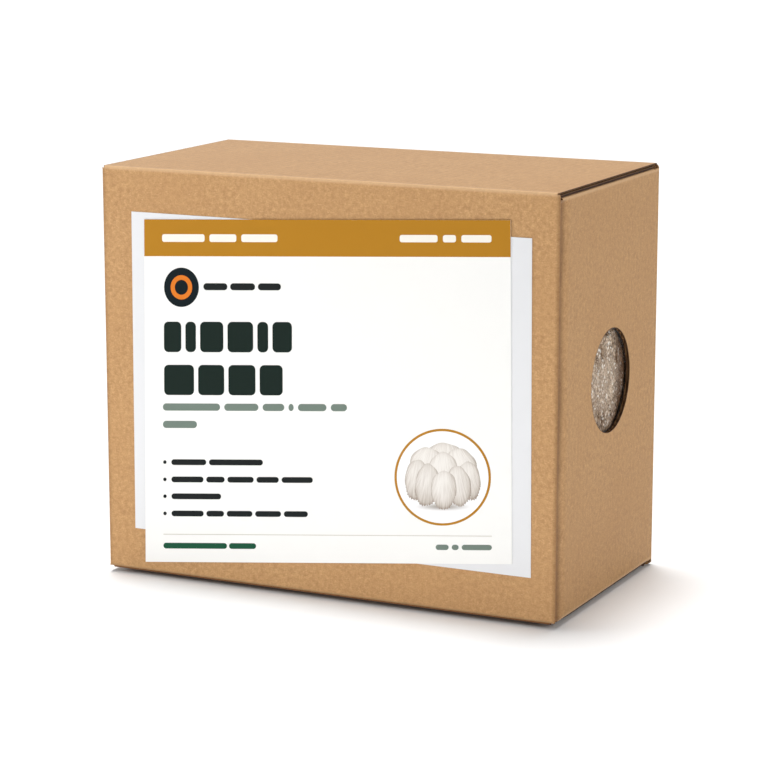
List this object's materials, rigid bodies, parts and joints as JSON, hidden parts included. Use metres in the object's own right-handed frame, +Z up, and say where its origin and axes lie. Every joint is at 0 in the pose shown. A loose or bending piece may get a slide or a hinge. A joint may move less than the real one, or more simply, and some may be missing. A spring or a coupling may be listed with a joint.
{
  "type": "boxed mushroom grow kit",
  "caption": "Closed kraft corrugated carton with a hinged tuck-in lid, labelled front and a round side window that shows the mushroom growing block inside.",
  "frame": {"origin": "middle of the carton's base, on the surface that it stands on", "axes": "+X along the width towards the window side, +Y from the labelled front to the back, +Z up; the lid opens upward about the front's top edge"},
  "size_m": [0.2, 0.1086, 0.17],
  "materials": {
    "kraft_board": "matte",
    "backing_paper": "satin",
    "printed_paper": "satin",
    "bag_film": "gloss",
    "filter_fleece": "matte",
    "substrate": "matte"
  },
  "bodies": {
    "carton": {"front_panel": "kraft_board", "back_panel": "kraft_board", "left_panel": "kraft_board", "right_panel": "kraft_board", "glue_flap": "kraft_board", "bottom_panel": "kraft_board", "bottom_tuck_flap": "kraft_board", "bottom_dust_flap_left": "kraft_board", "bottom_dust_flap_right": "kraft_board", "top_dust_flap_left": "kraft_board", "top_dust_flap_right": "kraft_board", "backing_label": "backing_paper", "printed_label": "printed_paper", "grow_bag": "bag_film", "filter_patch": "filter_fleece", "substrate_block": "substrate"},
    "lid": {"lid_panel": "kraft_board", "lid_tuck_flap": "kraft_board"}
  },
  "joints": [
    {"name": "lid_hinge", "type": "hinge", "parent": "carton", "child": "lid", "pos_m": [0, -0.054, 0.17], "axis": [1, 0, 0], "range_deg": [0, 170]}
  ]
}
